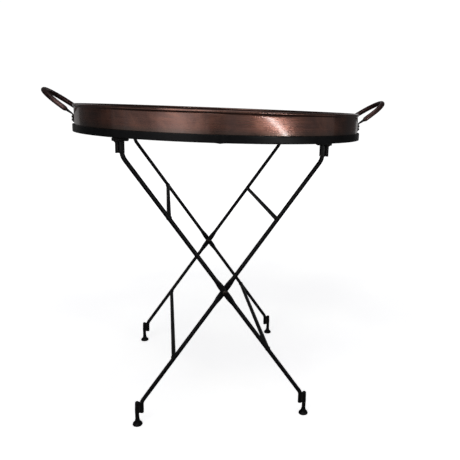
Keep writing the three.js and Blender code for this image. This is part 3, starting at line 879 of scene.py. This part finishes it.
for index, place in enumerate(PLACES):
    sx = -1 if "left" in place else 1
    sy = -1 if "front" in place else 1
    gusset_low, gusset_high, gusset_mid = corners(f"channel_gusset_{place}")
    channel_low, channel_high, channel_mid = corners(f"leg_channel_{place}")
    plate_low = corners(f"socket_plate_{place}")[0].z
    outer_x = gusset_high.x if sx > 0 else gusset_low.x
    inner_x = channel_low.x if sx > 0 else channel_high.x
    joint_x = gusset_low.x if sx > 0 else gusset_high.x
    added(concave_fillet(f"bracket_weld_outer_{place}", (outer_x, gusset_mid.y, plate_low),
                         (0, 1, 0), (sx, 0, 0), (0, 0, -1), 8.6 * MM, (5.5 * MM, 4.5 * MM),
                         90 + index), "ring", "black_iron")
    for face, sign in (("outer", sy), ("inner", -sy)):
        y = gusset_mid.y + sign * 4.6 * MM
        added(weld_line(f"bracket_weld_seam_{face}_{place}",
                        (joint_x - sx * 0.2 * MM, y - sign * 0.5 * MM, gusset_low.z + 2 * MM),
                        (joint_x - sx * 0.2 * MM, y - sign * 0.5 * MM, plate_low),
                        1.3 * MM, 1.0 * MM, (0, sign, 0), 100 + index), "ring", "black_iron")
        added(weld_line(f"bracket_weld_top_{face}_{place}",
                        (inner_x + sx * 1 * MM, channel_mid.y + sign * 6.1 * MM, plate_low),
                        (outer_x, channel_mid.y + sign * 5.2 * MM, plate_low),
                        1.5 * MM, 1.2 * MM, (0, 0, 1), 110 + index), "ring", "black_iron")

# --- rod frames -------------------------------------------------------------------------
FOOT_BEND_Z, TOP_BEND_Z = 47 * MM, 505 * MM
FOOT_BEND_R, TOP_BEND_R = 16 * MM, 26 * MM
ROD_R = 3.97 * MM  # five-sixteenth-inch rod
PADDLE = {"half": 32 * MM, "wide": 5.6 * MM, "thick": 2.4 * MM}  # forged flat at the pivot


def leg(letter, place, seed):
    low, high, centre = corners(f"leg_{letter}_{place}")
    lean = -1 if letter == "a" else 1
    top_x = low.x + ROD_R if lean < 0 else high.x - ROD_R
    foot_x = high.x - ROD_R if lean < 0 else low.x + ROD_R
    path = bent_path(
        [(foot_x, centre.y, low.z + ROD_R * 0.5), (foot_x, centre.y, FOOT_BEND_Z),
         (top_x, centre.y, TOP_BEND_Z), (top_x, centre.y, high.z)],
        [FOOT_BEND_R, TOP_BEND_R], 4 * MM)
    spot = np.array([pivot.x, centre.y, pivot.z])
    length = arc_lengths(path)
    nearest = length[np.argmin(np.linalg.norm(path - spot, axis=1))]

    def form(s, total):
        flat = 1 - smoothstep(PADDLE["half"] * 0.38, PADDLE["half"], abs(s - nearest))
        wide = ROD_R + (PADDLE["wide"] - ROD_R) * flat
        thick = ROD_R + (PADDLE["thick"] - ROD_R) * flat
        return wide, thick, 2.0 + 1.4 * flat

    # width lies in the frame's plane, square to the rod
    across = np.cross(np.gradient(path, axis=0), np.array([0.0, 1.0, 0.0]))
    return sweep(f"leg_{letter}_{place}_rod", path, across, form, sides=20, domes=(0.5, 0.0),
                 seed=seed, rough=0.07 * MM, lump=14 * MM)


def crossbar(letter, level, seed):
    """Rod between two legs, thickened by a weld collar at each end."""
    node = f"crossbar_{letter}_{level}"
    low, high, centre = corners(node)
    span, dense = high.y - low.y, 9 * MM  # the collars need closer points
    ys = np.concatenate([np.linspace(0, dense, 14)[:-1],
                         np.linspace(dense, span - dense, 84)[:-1],
                         np.linspace(span - dense, span, 14)])
    path = np.array([(centre.x, low.y + y, centre.z) for y in ys])

    def form(s, total):
        t = min(s, total - s)
        collar = math.exp(-(t / (2.6 * MM)) ** 2) * (
            1 + 0.3 * math.sin(s * 2 * math.pi / (1.7 * MM)))
        size = ROD_R + 1.15 * MM * collar
        return size, size, 2.0

    return sweep(f"{node}_rod", path, (1, 0, 0), form, sides=20, domes=(0.25, 0.25),
                 seed=seed, rough=0.09 * MM, lump=7 * MM)


def foot_rod(letter, place, seed):
    node = f"foot_rod_{letter}_{place}"
    low, high, centre = corners(node)
    lean = 1 if centre.x > pivot.x else -1
    count = 26
    path = []
    for k in range(count + 1):
        t = k / count
        bow = math.sin(math.pi * t) * 0.45 * MM
        path.append((centre.x + lean * bow, centre.y,
                     low.z + (high.z - low.z - 2.2 * MM) * t))

    def form(s, total):
        t = s / total
        neck = 1 + 0.30 * math.exp(-(t / 0.07) ** 2)
        waist = 1 - 0.06 * math.exp(-((t - 0.35) / 0.16) ** 2)
        return ROD_R * neck * waist, ROD_R * neck * waist, 2.0

    return sweep(f"{node}_bar", path, (1, 0, 0), form, sides=20, domes=(0.0, 0.7), seed=seed,
                 rough=0.10 * MM, lump=6 * MM)


def foot_pad(letter, place, seed):
    """Turned button foot: a flat sole under a dome that runs up to the rod."""
    node = f"foot_pad_{letter}_{place}"
    low, high, centre = corners(node)
    radius = (high.x - low.x) / 2
    sole = low.z
    outline = [(0.6 * MM, sole), (radius * 0.45, sole), (radius - 1.8 * MM, sole)]
    outline += arc(radius - 1.5 * MM, sole + 1.5 * MM, 1.5 * MM, -80, 30, 6)
    outline += [
        (radius - 0.60 * MM, sole + 3.8 * MM), (radius - 1.50 * MM, sole + 5.1 * MM),
        (radius - 2.8 * MM, sole + 6.3 * MM), (radius - 4.0 * MM, sole + 7.1 * MM),
        (radius - 4.9 * MM, sole + 7.8 * MM), (ROD_R * 0.6, high.z), (0.5 * MM, high.z)]

    def shift(rows, angles):
        flat = rows.reshape(-1, 3)
        direction = flat - np.array([centre.x, centre.y, 0]) * [1, 1, 0]
        direction[:, 2] = 0
        size = np.maximum(np.linalg.norm(direction, axis=1), 1e-9)
        amount = uneven(flat, 5 * MM, 0.28 * MM, seed) * (flat[:, 2] > sole + 0.3 * MM)
        return (flat + direction / size[:, None] * amount[:, None]).reshape(rows.shape)

    return lathe(f"{node}_button", outline, 40, (centre.x, centre.y), loop_rows=False,
                 shift=shift)


seed = 200
for letter in "ab":
    for place in ("front", "rear"):
        stand_for(leg(letter, place, seed), f"leg_{letter}_{place}")
        stand_for(foot_rod(letter, place, seed + 1), f"foot_rod_{letter}_{place}")
        stand_for(foot_pad(letter, place, seed + 2), f"foot_pad_{letter}_{place}")
        # weld between the leg's end and the foot rod, filling the lap
        low = corners(f"leg_{letter}_{place}")[0]
        _, rod_high, rod_mid = corners(f"foot_rod_{letter}_{place}")
        toward = 1 if rod_mid.x > pivot.x else -1
        lap_x = rod_mid.x - toward * (ROD_R + 0.1 * MM)
        added(weld_line(f"foot_weld_{letter}_{place}",
                        (lap_x, rod_mid.y, low.z + 3 * MM),
                        (lap_x - toward * 0.5 * MM, rod_mid.y, rod_high.z - 3.4 * MM),
                        2.6 * MM, 3.1 * MM, (0, 1, 0), seed + 3, ripple=2.6 * MM),
              f"frame_{letter}", "black_iron")
        seed += 5
    for level in ("upper", "lower"):
        node = f"crossbar_{letter}_{level}"
        stand_for(crossbar(letter, level, seed), node)
        seed += 1

PIVOT_SHANK_R, WASHER_BORE_R = 2.0 * MM, 2.12 * MM
PIVOT_HEAD = (4.2 * MM, 2.2 * MM)  # radius and height
for place in ("front", "rear"):
    node = f"pivot_rivet_{place}"
    low, high, centre = corners(node)
    piece = pin_along(f"{node}_peened", Vector((centre.x, low.y, centre.z)),
                      Vector((centre.x, high.y, centre.z)), PIVOT_SHANK_R, *PIVOT_HEAD, seed)
    stand_for(piece, node)
    node = f"pivot_spacer_{place}"
    low, high, centre = corners(node)
    outline = rectangle(WASHER_BORE_R, low.y, (high.x - low.x) / 2, high.y, 0.25 * MM, 2)
    angles = 2 * math.pi * np.arange(32) / 32
    rows = [[(centre.x + r * math.cos(a), y, centre.z + r * math.sin(a)) for a in angles]
            for r, y in outline]
    stand_for(tube(f"{node}_washer", rows, True), node)
    seed += 4

# the wire rolled into the edge keeps its CAD shape
rim_wire = frame["nodes"]["rim_wire"]
rim_wire.data.materials.clear()
rim_wire.data.materials.append(LOOKS["dark_steel"])
rim_wire.data.shade_smooth()

# --- floor, light and camera ------------------------------------------------------------
def floor_look():
    look = Look("floor_look")
    grain = look.noise(3.0, 3.0, 0.5)
    fine = look.noise(160.0, 2.0, 0.5)
    tone = look.mix(look.remap(grain, 0.3, 0.7), (0.93, 0.93, 0.94), (0.97, 0.97, 0.97))
    distance = look.vector("LENGTH", look.coords)
    glow = look.remap(distance, 0.5, 2.2, 0.80, 1.15)
    return look.finish(Base_Color=tone, Roughness=look.remap(fine, 0.3, 0.7, 0.72, 0.85),
                       Normal=look.bump(fine, 0.05, 0.1 * MM), Emission_Color=tone,
                       Emission_Strength=glow)


FLOOR_R = 7.0
outline = [(0.02, -0.02), (FLOOR_R, -0.02), (FLOOR_R, 0.0), (2.5, 0.0), (1.0, 0.0), (0.02, 0.0)]
floor = lathe("studio_floor", outline, 96, loop_rows=False)
floor.data.materials.append(floor_look())
floor.visible_glossy = floor.visible_diffuse = False  # its glare stays off the black rods
floor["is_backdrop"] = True

world = bpy.data.worlds.new("studio")
scene.world = world
world.use_nodes = True
tree = world.node_tree
tree.nodes.clear()
world_out = tree.nodes.new("ShaderNodeOutputWorld")
camera_ray = tree.nodes.new("ShaderNodeLightPath").outputs["Is Camera Ray"]
seen = tree.nodes.new("ShaderNodeBackground")
seen.inputs["Color"].default_value = (1.0, 1.0, 1.0, 1.0)
seen.inputs["Strength"].default_value = 1.05
ambient = tree.nodes.new("ShaderNodeBackground")
ambient.inputs["Color"].default_value = (0.96, 0.98, 1.0, 1.0)
ambient.inputs["Strength"].default_value = 0.05
blend = tree.nodes.new("ShaderNodeMixShader")
tree.links.new(camera_ray, blend.inputs[0])
tree.links.new(ambient.outputs[0], blend.inputs[1])
tree.links.new(seen.outputs[0], blend.inputs[2])
tree.links.new(blend.outputs[0], world_out.inputs["Surface"])


def panel(name, azimuth, distance, height, width, tall, radiance, lean=0.0, aim=0.45):
    """Soft panel facing height aim on the table's axis, turned by lean degrees about that line.

    azimuth runs from -Y (0) towards +X (90).
    """
    a = math.radians(azimuth)
    light = bpy.data.lights.new(name, "AREA")
    light.shape = "RECTANGLE"
    light.size, light.size_y = width, tall
    light.energy = radiance * math.pi * width * tall
    obj = bpy.data.objects.new(name, light)
    obj.location = (distance * math.sin(a), -distance * math.cos(a), height)
    facing = (Vector((0, 0, aim)) - Vector(obj.location)).to_track_quat("-Z", "Y")
    turned = Matrix.Rotation(math.radians(lean), 4, "Z").to_quaternion()
    obj.rotation_mode = "QUATERNION"
    obj.rotation_quaternion = facing @ turned
    obj.visible_camera = False
    scene.collection.objects.link(obj)


for step, width in enumerate((0.8, 1.7)):
    panel(f"broad_left_{step}", -66, 2.1 + 0.02 * step, 0.60, width, 0.9, 0.17)
for step, width in enumerate((0.30, 0.65, 1.05, 1.50)):  # nested, so the glow has soft sides
    panel(f"key_left_{step}", -34, 1.9 + 0.02 * step, 0.60, width, 0.9, 0.36)
for step, width in enumerate((0.6, 1.2)):
    panel(f"front_{step}", 6, 2.0 + 0.02 * step, 0.60, width, 0.9, 0.14)
panel("broad_right", 62, 1.9, 0.60, 1.9, 0.9, 0.16)
panel("strip_right", 33.5, 1.85, 0.55, 0.075, 0.9, 20.0, lean=58, aim=0.55)
panel("high_left", -30, 1.9, 1.75, 1.5, 0.6, 3.1, aim=0.5)
panel("rear_left", -150, 2.4, 0.9, 1.3, 1.3, 0.18, aim=0.5)
panel("rear_right", 150, 2.4, 0.9, 1.3, 1.3, 0.30, aim=0.5)
panel("overhead", 0, 0.4, 2.6, 2.4, 2.4, 0.6, aim=0.5)

# camera
CAMERA_AT = Vector((-0.1101, -1.1417, 0.5962))
YAW, PITCH, ROLL = (math.radians(a) for a in (12.62, 12.831, 2.249))
FOCAL_PX, CENTRE_X_PX, IMAGE_PX, SENSOR = 542.58, 285.0, 460, 36.0
forward = Vector((math.sin(YAW) * math.cos(PITCH), math.cos(YAW) * math.cos(PITCH),
                  -math.sin(PITCH)))
right = Vector((math.cos(YAW), -math.sin(YAW), 0))
up = right.cross(forward)
right_rolled = math.cos(ROLL) * right + math.sin(ROLL) * up
up_rolled = -math.sin(ROLL) * right + math.cos(ROLL) * up
camera_data = bpy.data.cameras.new("camera")
camera_data.sensor_width = SENSOR
camera_data.lens = FOCAL_PX * SENSOR / IMAGE_PX
camera_data.shift_x = (IMAGE_PX / 2 - CENTRE_X_PX) / IMAGE_PX
camera_data.clip_start, camera_data.clip_end = 0.05, 50.0
camera = bpy.data.objects.new("camera", camera_data)
turn = Matrix((right_rolled, up_rolled, -forward)).transposed().to_4x4()
camera.matrix_world = Matrix.Translation(CAMERA_AT) @ turn
scene.collection.objects.link(camera)
scene.camera = camera
scene.view_settings.view_transform = "Standard"

low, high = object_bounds()
